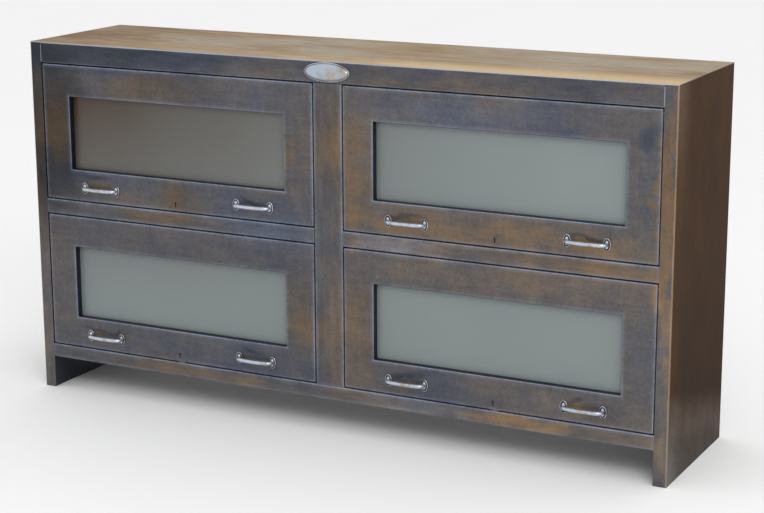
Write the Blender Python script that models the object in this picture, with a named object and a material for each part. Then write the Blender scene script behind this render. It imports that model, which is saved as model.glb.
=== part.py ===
"""A sheet-steel sideboard with four glazed lift-up doors.

Metres, +Z up, +X along the sideboard's length, -Y out of its front. The origin is on the floor, under the
middle of the box that holds the whole sideboard, handles included.
"""

import math

import bmesh
import bpy
from mathutils import Matrix, Vector

# ---- driving dimensions ----------------------------------------------------------------------------------

WIDTH = 1.500
DEPTH = 0.345
HEIGHT = 0.796
LEG = 0.073  # clear height under the bottom rail

SHEET = 0.0012  # all folded sheet
BEND = 0.0020  # bend radius at the middle of the sheet
BEND_STEPS = 3
ROD_BEND_STEPS = 4
SEAM = 0.0003  # gap between two pieces that touch

STILE = 0.028  # thickness of a side slab, which is also its width seen from the front
POST = 0.067
TOP_RAIL = 0.0455
MID_RAIL = 0.0335
BOTTOM_RAIL = 0.031
RAIL_DEPTH = 0.025
STOP_LIP = 0.007  # the strip that a closed door rests against, above its rail
BACK_FLANGE = 0.020  # stiffening flange at the back edge of the shelves and the floor

DOOR_GAP = 0.002
DOOR_MEMBER = 0.070
WINDOW_RETURN = 0.0155  # how far the window's edge is folded back, and so the depth of its reveal
GLASS = 0.004
GLASS_LAP = 0.008

PIN_RADIUS = 0.0025
PIN_SIDES = 12
PIN_IN_DOOR = 0.022
PIN_IN_WALL = 0.006
PIVOT_BACK = 0.006  # hinge line, behind the door's face
PIVOT_DROP = 0.0085  # hinge line, below the door's top edge
PIVOT_BLOCK = 0.026  # length of the block that holds a pin in the door's corner
BUSH_WALL = 0.0012
BUSH_LENGTH = 0.009
TURNING = 0.0003  # clearance round a pin that turns

HANDLE_OFFSET = 0.196  # handle's middle, from the door's middle
HANDLE_RISE = 0.0305  # handle's middle, above the door's bottom edge
HANDLE_FEET = 0.083
HANDLE_REACH = 0.0215
HANDLE_BEND = 0.013
HANDLE_SIDES = 12
HANDLE_BEND_STEPS = 3
BAR_RADIUS = 0.0043
ROSE = (0.0085, 0.0132)  # half width and half height of the oval plate at a handle's foot
ROSE_EDGE = 0.0024
ROSE_CROWN = 0.0046  # full height of the plate
CROWN_SHARE = 0.62  # width of its flat top, as a share of its own
ROSE_SIDES = 16
STUD_RADIUS = 0.0025
STUD_LENGTH = 0.010
STUD_CLEARANCE = 0.0004

KEYHOLE_RISE = 0.0180  # centre of the keyhole's round, above the door's bottom edge
KEYHOLE_RADIUS = 0.0024
KEYHOLE_SLOT = (0.0026, 0.0085)
LOCK_CASE = (0.056, 0.013, 0.036)
LOCK_RISE = 0.005  # underside of the case, above the door's bottom edge
BOLT = (0.0174, 0.0054, 0.0220)
BOLT_SETBACK = 0.0030  # bolt's front face, behind the case's front face
BOLT_RECESS = 0.0005  # end of the drawn-back bolt, above the door's bottom edge
BOLT_CLEARANCE = 0.0004
STRIKE_CLEARANCE = 0.0010

DOOR_LIFT = math.radians(90)
STAY_DROP = 0.140  # rod's pivot, below the hinge line
STAY_STANDOFF = 0.010  # rod's pivot, behind the door's back
STAY_INSET = 0.012  # middle of the rod, from the side wall
GUIDE_ANGLE = math.radians(45)  # guide's place on the circle of the rod's pivot, back from straight down
ROD_RADIUS = 0.003
ROD_BEND = 0.005
ROD_SIDES = 10
ROD_PAST_GUIDE = 0.012  # rod left beyond the guide when the door is open
ROD_STOP = (0.0055, 0.004)  # radius and length of the disc on the rod's end
ROD_CLEARANCE = 0.0005
GUIDE_BLOCK = (0.012, 0.016, 0.014)  # along the guide's pin, along the rod, and across both
GUIDE_PIN_RADIUS = 0.003
GUIDE_PIN_ROOT = 0.001
LUG_THICKNESS = 0.003
LUG_REACH = 0.008  # lug's edge, from the middle of its hole
LUG_INSET = 0.0055  # lug's near face, from the middle of the rod
LUG_PAST = 0.003  # rod's end beyond the lug

BADGE = (0.106, 0.041)  # the oval plate on the top rail
BADGE_EDGE = 0.0018
BADGE_DOME = 0.0042
BADGE_SIDES = 40
BADGE_RINGS = 5

# ---- what follows from them ------------------------------------------------------------------------------

FRONT = -(DEPTH - HANDLE_REACH) / 2
BACK = FRONT + DEPTH
INNER = WIDTH / 2 - STILE  # inside face of a side slab
OPENING_HEIGHT = (HEIGHT - LEG - BOTTOM_RAIL - MID_RAIL - TOP_RAIL) / 2
LOWER_SILL = LEG + BOTTOM_RAIL
UPPER_SILL = LOWER_SILL + OPENING_HEIGHT + MID_RAIL
TOP_UNDERSIDE = HEIGHT - SHEET

DOOR_HEIGHT = OPENING_HEIGHT - 2 * DOOR_GAP
GLASS_FRONT = FRONT + WINDOW_RETURN + SEAM
GLASS_BACK = GLASS_FRONT + GLASS
DOOR_BACK = GLASS_BACK + SEAM + SHEET
LIP_MIDDLE = DOOR_BACK + SEAM + SHEET / 2
SHELF_LIP_MIDDLE = LIP_MIDDLE + SHEET + SEAM
PANEL_BACK = BACK - SHEET - SEAM  # rear limit of what stands inside the back panel

HINGE_Y = FRONT + PIVOT_BACK
STAY_Y = DOOR_BACK + STAY_STANDOFF - HINGE_Y
STAY_RADIUS = math.hypot(STAY_Y, STAY_DROP)
STAY_START = math.atan2(STAY_Y, STAY_DROP)
ROD_SLOPE = (STAY_START + GUIDE_ANGLE) / 2  # a chord's slope is the mean of its two ends' angles
OPEN_CHORD = 2 * STAY_RADIUS * math.sin((GUIDE_ANGLE - STAY_START + DOOR_LIFT) / 2)
ROD_LENGTH = OPEN_CHORD + ROD_PAST_GUIDE

LOCK_FRONT = FRONT + SHEET + SEAM
BOLT_MIDDLE = LOCK_FRONT + BOLT_SETBACK + BOLT[1] / 2

CELLS = {
    "upper_left": (-1, UPPER_SILL),
    "upper_right": (1, UPPER_SILL),
    "lower_left": (-1, LOWER_SILL),
    "lower_right": (1, LOWER_SILL),
}

# ---- scene and materials ---------------------------------------------------------------------------------

for old in list(bpy.data.objects):
    bpy.data.objects.remove(old)


def make_material(name, colour, roughness, metallic, alpha=1.0):
    made = bpy.data.materials.new(name)
    made.use_nodes = True
    shader = made.node_tree.nodes["Principled BSDF"]
    shader.inputs["Base Color"].default_value = (*colour, 1.0)
    shader.inputs["Roughness"].default_value = roughness
    shader.inputs["Metallic"].default_value = metallic
    shader.inputs["Alpha"].default_value = alpha
    return made


BODY_STEEL = make_material("body_steel", (0.115, 0.100, 0.092), 0.40, 0.8)
DOOR_STEEL = make_material("door_steel", (0.120, 0.118, 0.125), 0.38, 0.8)
WORN_STEEL = make_material("worn_steel", (0.45, 0.46, 0.50), 0.30, 1.0)
PALE_PLATE = make_material("pale_plate", (0.48, 0.48, 0.45), 0.35, 0.9)
LOCK_STEEL = make_material("lock_steel", (0.20, 0.18, 0.16), 0.45, 0.9)
PLATED_STEEL = make_material("plated_steel", (0.55, 0.55, 0.56), 0.30, 1.0)
GREY_GLASS = make_material("grey_glass", (0.25, 0.29, 0.27), 0.30, 0.0, 0.6)


# ---- modelling helpers -----------------------------------------------------------------------------------


def finish_object(name, bm, material):
    """Turns a bmesh into a named object with outward faces and smooth round parts."""
    bmesh.ops.recalc_face_normals(bm, faces=bm.faces)
    mesh = bpy.data.meshes.new(name)
    bm.to_mesh(mesh)
    bm.free()
    mesh.shade_smooth()
    mesh.set_sharp_from_angle(angle=math.radians(30))
    mesh.materials.append(material)
    made = bpy.data.objects.new(name, mesh)
    bpy.context.scene.collection.objects.link(made)
    return made


def box_object(name, low, high, material=BODY_STEEL):
    """A box between two corners, which may be given in any order."""
    low, high = Vector(low), Vector(high)
    size = [abs(side) for side in high - low]
    bm = bmesh.new()
    place = Matrix.Translation((low + high) / 2) @ Matrix.Diagonal((*size, 1.0))
    bmesh.ops.create_cube(bm, size=1.0, matrix=place)
    return finish_object(name, bm, material)


def push_on(bm, face, shift):
    """Extrudes an end face by a vector and gives the new end face."""
    inner = not face.edges[0].is_boundary
    made = bmesh.ops.extrude_face_region(bm, geom=[face])["geom"]
    if inner:
        bm.faces.remove(face)
    bmesh.ops.translate(bm, verts=[g for g in made if isinstance(g, bmesh.types.BMVert)], vec=shift)
    return next(g for g in made if isinstance(g, bmesh.types.BMFace))


def rod_object(name, path, radius, sides, material=BODY_STEEL, bend=0.0, steps=ROD_BEND_STEPS):
    """A round rod along a path of corners, each corner a true arc of radius bend."""
    line = [Vector(point) for point in path]
    ways = [(b - a).normalized() for a, b in zip(line, line[1:])]
    bm = bmesh.new()
    turn = ways[0].to_track_quat("Z", "Y").to_matrix().to_4x4()
    place = Matrix.Translation(line[0]) @ turn
    ring = bmesh.ops.create_circle(bm, cap_ends=True, segments=sides, radius=radius, matrix=place)["verts"]
    face = ring[0].link_faces[0]
    start = line[0]
    for corner, way, after in zip(line[1:], ways, ways[1:]):
        angle = way.angle(after)
        setback = bend * math.tan(angle / 2)
        face = push_on(bm, face, corner - way * setback - start)
        inward = (after - way * after.dot(way)).normalized()
        centre = corner - way * setback + inward * bend
        step = Matrix.Rotation(angle / steps, 3, way.cross(after))
        for _ in range(steps):
            face = push_on(bm, face, (0, 0, 0))
            bmesh.ops.rotate(bm, verts=face.verts, cent=centre, matrix=step)
        start = corner + after * setback
    push_on(bm, face, line[-1] - start)
    return finish_object(name, bm, material)


def combine(target, other, operation):
    """Joins another object to the target, or cuts it away, and removes the other object."""
    modifier = target.modifiers.new(operation.lower(), "BOOLEAN")
    modifier.operation = operation
    modifier.solver = "EXACT"
    modifier.object = other
    with bpy.context.temp_override(object=target, active_object=target):
        bpy.ops.object.modifier_apply(modifier=modifier.name)
    bpy.data.objects.remove(other)


def join(target, other):
    combine(target, other, "UNION")


def cut(target, other):
    combine(target, other, "DIFFERENCE")


def folded_section(path):
    """Outline of a sheet whose middle follows a path of corners, each corner a true arc."""
    line = [Vector(point) for point in path]
    ways = [(b - a).normalized() for a, b in zip(line, line[1:])]
    stations = [(line[0], ways[0].orthogonal())]
    for corner, way, after in zip(line[1:], ways, ways[1:]):
        turn = -way.angle_signed(after)
        normal = way.orthogonal()
        side = math.copysign(BEND, turn)
        centre = corner - way * BEND * math.tan(abs(turn) / 2) + normal * side
        for step in range(BEND_STEPS + 1):
            turned = Matrix.Rotation(turn * step / BEND_STEPS, 2) @ normal
            stations.append((centre - turned * side, turned))
    stations.append((line[-1], ways[-1].orthogonal()))
    left = [point + normal * SHEET / 2 for point, normal in stations]
    right = [point - normal * SHEET / 2 for point, normal in stations]
    return left + right[::-1]


def extruded(name, outline, place, start, end, material=BODY_STEEL):
    """Runs an outline from start to end; place(u, v, w) says where an outline's point lies in space."""
    bm = bmesh.new()
    face = bm.faces.new([bm.verts.new(place(u, v, start)) for u, v in outline])
    push_on(bm, face, Vector(place(0, 0, end)) - Vector(place(0, 0, start)))
    return finish_object(name, bm, material)


def along_x(u, v, w):
    """A section across the length."""
    return (w, u, v)


def along_y(u, v, w):
    """A section seen from the front."""
    return (u, w, v)


def along_z(u, v, w):
    """A section seen from above."""
    return (u, v, w)


def mitred_frame(name, low, high, section, material):
    """A rectangular frame; the section's points are (inset from the frame's outside, y)."""
    bm = bmesh.new()
    width, height = high[0] - low[0], high[1] - low[1]
    inset, y = section[0]
    corners = [(1, 1), (-1, 1), (-1, -1), (1, -1)]
    ring = [bm.verts.new((a * (width / 2 - inset), y, b * (height / 2 - inset))) for a, b in corners]
    loop = [bm.edges.new((ring[i], ring[i - 1])) for i in range(4)]
    for next_inset, next_y in section[1:] + section[:1]:
        grown = bmesh.ops.extrude_edge_only(bm, edges=loop)["geom"]
        ring = [g for g in grown if isinstance(g, bmesh.types.BMVert)]
        loop = [g for g in grown if isinstance(g, bmesh.types.BMEdge)]
        narrower = (width - 2 * next_inset) / (width - 2 * inset)
        lower = (height - 2 * next_inset) / (height - 2 * inset)
        bmesh.ops.scale(bm, verts=ring, vec=(narrower, 1, lower))
        bmesh.ops.translate(bm, verts=ring, vec=(0, next_y - y, 0))
        inset, y = next_inset, next_y
    bmesh.ops.remove_doubles(bm, verts=bm.verts, dist=SEAM / 10)
    bmesh.ops.translate(bm, verts=bm.verts, vec=((low[0] + high[0]) / 2, 0, (low[1] + high[1]) / 2))
    return finish_object(name, bm, material)


def fit_bush(wall, x_face, into, y, z, pin_radius):
    """Welds a short tube to a wall's hidden side and bores it for a pin. into is the way into the wall."""
    bore = pin_radius + TURNING
    root = (x_face + into * SHEET / 2, y, z)
    tip = (x_face + into * BUSH_LENGTH, y, z)
    join(wall, rod_object("tube", [root, tip], bore + BUSH_WALL, 2 * PIN_SIDES))
    outside = (x_face - into * BUSH_LENGTH, y, z)
    beyond = (x_face + into * 2 * BUSH_LENGTH, y, z)
    cut(wall, rod_object("bore", [outside, beyond], bore, PIN_SIDES))


def pivot_empty(name, place, parent=None):
    """An empty on a joint's axis, placed in world coordinates, also where it hangs under another empty."""
    made = bpy.data.objects.new(name, None)
    made.empty_display_size = BUSH_LENGTH
    made.location = place
    bpy.context.scene.collection.objects.link(made)
    if parent:
        made.parent = parent
        made.matrix_parent_inverse = Matrix.Translation(-parent.location)
    return made


def hang(piece, empty):
    """Puts a piece's origin on its joint's axis, with the piece itself left where it is."""
    piece.data.transform(Matrix.Translation(-empty.location))
    piece.parent = empty


# ---- carcass ---------------------------------------------------------------------------------------------


def hinge_height(sill):
    return sill + DOOR_GAP + DOOR_HEIGHT - PIVOT_DROP


def guide_place(side, sill):
    """Middle of the stay's guide, on the circle that the rod's pivot swings round."""
    x = side * (INNER - STAY_INSET)
    y = HINGE_Y + STAY_RADIUS * math.sin(GUIDE_ANGLE)
    z = hinge_height(sill) - STAY_RADIUS * math.cos(GUIDE_ANGLE)
    return Vector((x, y, z))


def side_slab(side, suffix):
    """The outer skin, folded round the slab's front and back edges, and the inner skin with its foot."""
    inner, outer = side * INNER, side * (WIDTH - SHEET) / 2
    near, far = FRONT + SHEET / 2, BACK - SHEET / 2
    top = TOP_UNDERSIDE - 2 * SEAM
    skin = folded_section([(inner, near), (outer, near), (outer, far), (inner, far)])
    extruded(f"side_shell_{suffix}", skin, along_z, 0, top)

    foot = side * (WIDTH / 2 - SHEET / 2 - BEND)
    wall = side * (INNER + SHEET / 2)
    lining = folded_section([(foot, SHEET / 2), (wall, SHEET / 2), (wall, top)])
    liner = extruded(f"side_liner_{suffix}", lining, along_y, FRONT + SHEET + SEAM, PANEL_BACK)
    for sill in (LOWER_SILL, UPPER_SILL):
        fit_bush(liner, inner, side, HINGE_Y, hinge_height(sill), PIN_RADIUS)
        guide = guide_place(side, sill)
        fit_bush(liner, inner, side, guide.y, guide.z, GUIDE_PIN_RADIUS)


def top_panel():
    """The top sheet, folded down at the front as the top rail and back under as a flange."""
    near, high = FRONT + SHEET / 2, HEIGHT - SHEET / 2
    low = HEIGHT - TOP_RAIL + SHEET / 2
    section = folded_section([(BACK, high), (near, high), (near, low), (FRONT + RAIL_DEPTH, low)])
    panel = extruded("top_panel", section, along_x, -WIDTH / 2, WIDTH / 2)
    for side in (-1, 1):
        corner = (side * (INNER - SEAM), FRONT - SHEET, HEIGHT - 2 * TOP_RAIL)
        beyond = (side * WIDTH, FRONT + 2 * RAIL_DEPTH, TOP_UNDERSIDE - SEAM)
        cut(panel, box_object("notch", corner, beyond))


def post_notch(target):
    """Clears the lip above the sill where the centre post stands."""
    half = POST / 2 + SEAM
    low = (-half, FRONT + SHEET, LOWER_SILL + SEAM)
    high = (half, FRONT + 2 * RAIL_DEPTH, LOWER_SILL + 2 * STOP_LIP)
    cut(target, box_object("notch", low, high))


def front_rail(name, start, end, base, height, doors):
    """A rail's face with a flange below and, above, the ledge and lip that a closed door meets."""
    near = FRONT + SHEET / 2
    low, sill = base + SHEET / 2, base + height
    ledge = sill - SHEET / 2
    flange, lip = (FRONT + RAIL_DEPTH, low), (LIP_MIDDLE, sill + STOP_LIP)
    path = [flange, (near, low), (near, ledge), (LIP_MIDDLE, ledge), lip]
    rail = extruded(name, folded_section(path), along_x, start, end)
    for middle in doors:
        wide, deep = BOLT[0] / 2 + STRIKE_CLEARANCE, BOLT[1] / 2 + STRIKE_CLEARANCE
        corner = (middle - wide, BOLT_MIDDLE - deep, sill - 2 * SHEET)
        opposite = (middle + wide, BOLT_MIDDLE + deep, sill + SHEET)
        cut(rail, box_object("strike", corner, opposite))
    return rail


def floor_or_shelf(name, start, end, sill):
    """A sheet with a flange up at the front, against its rail's lip, and down at the back."""
    level, back = sill - SHEET / 2, PANEL_BACK - SHEET / 2
    lip = (SHELF_LIP_MIDDLE, sill + STOP_LIP)
    path = [lip, (SHELF_LIP_MIDDLE, level), (back, level), (back, level - BACK_FLANGE)]
    return extruded(name, folded_section(path), along_x, start, end)


def centre_post():
    """The folded post between the doors, standing on the bottom rail's ledge."""
    near, deep, half = FRONT + SHEET / 2, FRONT + RAIL_DEPTH, (POST - SHEET) / 2
    section = folded_section([(-half, deep), (-half, near), (half, near), (half, deep)])
    post = extruded("centre_post", section, along_z, LOWER_SILL + 2 * SEAM, HEIGHT - TOP_RAIL - SEAM)
    for side in (-1, 1):
        for sill in (LOWER_SILL, UPPER_SILL):
            fit_bush(post, side * POST / 2, -side, HINGE_Y, hinge_height(sill), PIN_RADIUS)


def centre_divider():
    """Two walls behind the post, with the web that joins them at the back."""
    near, back, half = FRONT + RAIL_DEPTH + SEAM, PANEL_BACK - SHEET / 2, (POST - SHEET) / 2
    section = folded_section([(-half, near), (-half, back), (half, back), (half, near)])
    extruded("centre_divider", section, along_z, LOWER_SILL + 2 * SEAM, TOP_UNDERSIDE - SEAM)


def badge():
    """A blank domed oval plate in the middle of the top rail."""
    bm = bmesh.new()
    bmesh.ops.create_uvsphere(bm, u_segments=BADGE_SIDES, v_segments=2 * BADGE_RINGS, radius=1.0)
    everything = [*bm.verts, *bm.edges, *bm.faces]
    bmesh.ops.bisect_plane(bm, geom=everything, plane_co=(0, 0, 0), plane_no=(0, 0, 1), clear_inner=True)
    bmesh.ops.scale(bm, verts=bm.verts, vec=(BADGE[0] / 2, BADGE[1] / 2, BADGE_DOME))
    rim = [edge for edge in bm.edges if edge.is_boundary]
    skirt = bmesh.ops.extrude_edge_only(bm, edges=rim)["geom"]
    moved = [g for g in skirt if isinstance(g, bmesh.types.BMVert)]
    bmesh.ops.translate(bm, verts=moved, vec=(0, 0, -BADGE_EDGE))
    bmesh.ops.holes_fill(bm, edges=[edge for edge in bm.edges if edge.is_boundary])
    centre = Matrix.Translation((0, FRONT - SEAM - BADGE_EDGE, HEIGHT - TOP_RAIL / 2))
    upright = centre @ Matrix.Rotation(math.radians(90), 4, "X")
    bmesh.ops.transform(bm, matrix=upright, verts=bm.verts)
    finish_object("badge", bm, PALE_PLATE)


def carcass():
    side_slab(-1, "left")
    side_slab(1, "right")
    top_panel()
    reach, post_side = INNER - SEAM, POST / 2 + SEAM
    middle = (POST / 2 + INNER) / 2
    post_notch(front_rail("bottom_rail", -reach, reach, LEG, BOTTOM_RAIL, (-middle, middle)))
    post_notch(floor_or_shelf("floor_panel", -reach, reach, LOWER_SILL))
    rail_base = UPPER_SILL - MID_RAIL
    for start, end, suffix in ((-reach, -post_side, "left"), (post_side, reach, "right")):
        front_rail(f"mid_rail_{suffix}", start, end, rail_base, MID_RAIL, ((start + end) / 2,))
        floor_or_shelf(f"shelf_{suffix}", start, end, UPPER_SILL)
    centre_post()
    centre_divider()
    box_object("back_panel", (-reach, BACK - SHEET, LEG), (reach, BACK, TOP_UNDERSIDE - SEAM))
    badge()


# ---- doors -----------------------------------------------------------------------------------------------


def keyhole(name, x, y_start, y_end, bottom):
    """A cutter: a round with a slot below it, running back from y_start to y_end."""
    centre = bottom + KEYHOLE_RISE
    cutter = rod_object(name, [(x, y_start, centre), (x, y_end, centre)], KEYHOLE_RADIUS, 2 * PIN_SIDES)
    half, down = KEYHOLE_SLOT[0] / 2, centre - KEYHOLE_SLOT[1]
    join(cutter, box_object("slot", (x - half, y_start, centre), (x + half, y_end, down)))
    return cutter


def bolt_hole(x, clearance, low, high):
    """A cutter round the lock bolt, from height low to height high."""
    wide, deep = BOLT[0] / 2 + clearance, BOLT[1] / 2 + clearance
    corner, opposite = (x - wide, BOLT_MIDDLE - deep, low), (x + wide, BOLT_MIDDLE + deep, high)
    return box_object("bolt_hole", corner, opposite)


def door_pan(name, low, high):
    """The door's front: one sheet folded back round its outside and round its window."""
    outside, window, near = SHEET / 2, DOOR_MEMBER - SHEET / 2, FRONT + SHEET / 2
    path = [(outside, GLASS_BACK), (outside, near), (window, near), (window, FRONT + WINDOW_RETURN)]
    pan = mitred_frame(name, low, high, folded_section(path), DOOR_STEEL)
    middle = (low[0] + high[0]) / 2
    pivot_z = high[1] - PIVOT_DROP
    root = SHEET - SEAM
    for edge, into in ((low[0], 1), (high[0], -1)):
        block_low = (edge + into * root, FRONT + root, pivot_z - PIVOT_DROP + root)
        block_high = (edge + into * PIVOT_BLOCK, HINGE_Y + PIVOT_BACK, high[1] - root)
        join(pan, box_object("block", block_low, block_high, DOOR_STEEL))
        outer = (edge - into * PIN_IN_WALL, HINGE_Y, pivot_z)
        inner = (edge + into * (PIN_IN_DOOR + SEAM), HINGE_Y, pivot_z)
        cut(pan, rod_object("pin_hole", [outer, inner], PIN_RADIUS + SEAM, PIN_SIDES, DOOR_STEEL))
    for x, z in stud_places(middle, low[1]):
        hole = [(x, FRONT - SHEET, z), (x, FRONT + 2 * SHEET, z)]
        cut(pan, rod_object("stud_hole", hole, STUD_RADIUS + STUD_CLEARANCE, PIN_SIDES, DOOR_STEEL))
    cut(pan, keyhole("keyhole", middle, FRONT - SHEET, FRONT + 2 * SHEET, low[1]))
    cut(pan, bolt_hole(middle, BOLT_CLEARANCE, low[1] - SHEET, low[1] + 2 * SHEET))
    return pan


def stud_places(middle, bottom):
    """Where the handles' studs pass through the door's face."""
    z = bottom + HANDLE_RISE
    return [
        (middle + side * HANDLE_OFFSET + foot * HANDLE_FEET / 2, z)
        for side in (-1, 1)
        for foot in (-1, 1)
    ]


def backing_frame(name, low, high, lug):
    """The flat frame that closes the door's back and holds the glass, with a lug for the stay."""
    near = GLASS_BACK + SEAM
    flat = [(0, near), (0, DOOR_BACK), (DOOR_MEMBER, DOOR_BACK), (DOOR_MEMBER, near)]
    frame = mitred_frame(name, low, high, flat, DOOR_STEEL)
    inward = -math.copysign(1, lug.x)
    near = lug.x + inward * LUG_INSET
    far = near + inward * LUG_THICKNESS
    lug_low = (near, DOOR_BACK - SHEET / 2, lug.z - LUG_REACH)
    join(frame, box_object("lug", lug_low, (far, lug.y + LUG_REACH, lug.z + LUG_REACH), DOOR_STEEL))
    hole = [(near - inward * LUG_THICKNESS, lug.y, lug.z), (far + inward * LUG_THICKNESS, lug.y, lug.z)]
    cut(frame, rod_object("lug_hole", hole, ROD_RADIUS + TURNING, PIN_SIDES, DOOR_STEEL))
    return frame


def rose(x, z):
    """The oval plate at a handle's foot."""
    seat = Matrix.Translation((x, FRONT - SEAM, z)) @ Matrix.Rotation(math.radians(90), 4, "X")
    oval = seat @ Matrix.Diagonal((*ROSE, 1, 1))
    bm = bmesh.new()
    ring = bmesh.ops.create_circle(bm, cap_ends=True, segments=ROSE_SIDES, radius=1, matrix=oval)["verts"]
    rim = push_on(bm, ring[0].link_faces[0], (0, -ROSE_EDGE, 0))
    crown = push_on(bm, rim, (0, ROSE_EDGE - ROSE_CROWN, 0))
    about = Matrix.Translation((-x, 0, -z))
    bmesh.ops.scale(bm, verts=crown.verts, vec=(CROWN_SHARE, 1, CROWN_SHARE), space=about)
    return finish_object("rose", bm, WORN_STEEL)


def handle(name, x, z):
    """A bent bar between two oval plates, with the studs that fasten it."""
    bar_y = FRONT - HANDLE_REACH + BAR_RADIUS
    half = HANDLE_FEET / 2
    foot_y = FRONT - SEAM - ROSE_EDGE
    path = [(x - half, foot_y, z), (x - half, bar_y, z), (x + half, bar_y, z), (x + half, foot_y, z)]
    bar = rod_object(name, path, BAR_RADIUS, HANDLE_SIDES, WORN_STEEL, HANDLE_BEND, HANDLE_BEND_STEPS)
    for foot in (x - half, x + half):
        join(bar, rose(foot, z))
        stud = [(foot, FRONT - SEAM - ROSE_EDGE / 2, z), (foot, FRONT + STUD_LENGTH, z)]
        join(bar, rod_object("stud", stud, STUD_RADIUS, PIN_SIDES, WORN_STEEL))
    return bar


def lock_case(name, x, bottom):
    """The lock's case behind the door's face, hollow for the bolt and open at the keyhole."""
    low = (x - LOCK_CASE[0] / 2, LOCK_FRONT, bottom + LOCK_RISE)
    high = (x + LOCK_CASE[0] / 2, LOCK_FRONT + LOCK_CASE[1], bottom + LOCK_RISE + LOCK_CASE[2])
    case = box_object(name, low, high, LOCK_STEEL)
    pocket_top = bottom + BOLT_RECESS + BOLT[2] + BOLT_CLEARANCE
    cut(case, bolt_hole(x, BOLT_CLEARANCE, bottom, pocket_top))
    cut(case, keyhole("keyhole", x, LOCK_FRONT - SHEET, LOCK_FRONT + BOLT_SETBACK, bottom))
    return case


def lock_bolt(name, x, bottom):
    """The bolt, drawn back so that its end is just inside the door's edge."""
    base = bottom + BOLT_RECESS
    low = (x - BOLT[0] / 2, BOLT_MIDDLE - BOLT[1] / 2, base)
    return box_object(name, low, (x + BOLT[0] / 2, BOLT_MIDDLE + BOLT[1] / 2, base + BOLT[2]), LOCK_STEEL)


def stay_rod(name, side, pivot):
    """The rod that slides through the guide: bent at the door's end, with a disc at the other."""
    start = pivot - Vector((side * (LUG_INSET + LUG_THICKNESS + LUG_PAST), 0, 0))
    way = Vector((0, math.cos(ROD_SLOPE), math.sin(ROD_SLOPE)))
    tip = pivot + way * ROD_LENGTH
    rod = rod_object(name, [start, pivot, tip], ROD_RADIUS, ROD_SIDES, PLATED_STEEL, ROD_BEND)
    radius, length = ROD_STOP
    disc_ends = [tip - way * length / 2, tip + way * length / 2]
    join(rod, rod_object("disc", disc_ends, radius, 2 * ROD_SIDES, PLATED_STEEL))
    return rod


def stay_guide(name, side, centre):
    """The swivelling block that the rod slides through, with its pin in the side wall."""
    bm = bmesh.new()
    turn = Matrix.Rotation(ROD_SLOPE, 4, "X")
    place = Matrix.Translation(centre) @ turn @ Matrix.Diagonal((*GUIDE_BLOCK, 1.0))
    bmesh.ops.create_cube(bm, size=1.0, matrix=place)
    bmesh.ops.bevel(
        bm,
        geom=bm.edges,
        offset=SHEET,
        segments=1,
        profile=0.5,
        affect="EDGES",
        material=-1,
    )
    block = finish_object(name, bm, PLATED_STEEL)
    root = centre + Vector((side * (GUIDE_BLOCK[0] / 2 - GUIDE_PIN_ROOT), 0, 0))
    tip = Vector((side * (INNER + PIN_IN_WALL), centre.y, centre.z))
    join(block, rod_object("pin", [root, tip], GUIDE_PIN_RADIUS, PIN_SIDES, PLATED_STEEL))
    reach = turn @ Vector((0, GUIDE_BLOCK[1], 0))
    bore = ROD_RADIUS + ROD_CLEARANCE
    cut(block, rod_object("bore", [centre - reach, centre + reach], bore, ROD_SIDES, PLATED_STEEL))
    return block


def door(cell, side, sill):
    """A door with everything that lifts with it, and the stay that holds it up."""
    low_x, high_x = sorted((side * (POST / 2 + DOOR_GAP), side * (INNER - DOOR_GAP)))
    bottom, top = sill + DOOR_GAP, sill + DOOR_GAP + DOOR_HEIGHT
    low, high = (low_x, bottom), (high_x, top)
    middle = (low_x + high_x) / 2
    rod_pivot = Vector((side * (INNER - STAY_INSET), HINGE_Y + STAY_Y, hinge_height(sill) - STAY_DROP))
    guide = guide_place(side, sill)

    lift = pivot_empty(f"{cell}_lift", Vector((middle, HINGE_Y, hinge_height(sill))))
    pieces = [
        door_pan(f"{cell}_door_pan", low, high),
        backing_frame(f"{cell}_backing_frame", low, high, rod_pivot),
        lock_case(f"{cell}_lock_case", middle, bottom),
    ]
    inset = DOOR_MEMBER - GLASS_LAP
    pane_low = (low_x + inset, GLASS_FRONT, bottom + inset)
    pane_high = (high_x - inset, GLASS_BACK, top - inset)
    pieces.append(box_object(f"{cell}_glass", pane_low, pane_high, GREY_GLASS))
    for edge, into, suffix in ((low_x, 1, "left"), (high_x, -1, "right")):
        shift = -1 if suffix == "left" else 1
        handle_x = middle + shift * HANDLE_OFFSET
        pieces.append(handle(f"{cell}_handle_{suffix}", handle_x, bottom + HANDLE_RISE))
        wall_end = Vector((edge - into * (DOOR_GAP + PIN_IN_WALL), HINGE_Y, hinge_height(sill)))
        door_end = Vector((edge + into * PIN_IN_DOOR, HINGE_Y, hinge_height(sill)))
        pin = rod_object(f"{cell}_pin_{suffix}", [wall_end, door_end], PIN_RADIUS, PIN_SIDES, PLATED_STEEL)
        pieces.append(pin)
    for piece in pieces:
        hang(piece, lift)

    slide = pivot_empty(f"{cell}_lock_slide", Vector((middle, BOLT_MIDDLE, bottom)), lift)
    hang(lock_bolt(f"{cell}_lock_bolt", middle, bottom), slide)
    rod_turn = pivot_empty(f"{cell}_rod_turn", rod_pivot, lift)
    hang(stay_rod(f"{cell}_stay_rod", side, rod_pivot), rod_turn)
    guide_turn = pivot_empty(f"{cell}_guide_turn", guide)
    hang(stay_guide(f"{cell}_stay_guide", side, guide), guide_turn)


carcass()
for cell, (side, sill) in CELLS.items():
    door(cell, side, sill)
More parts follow.
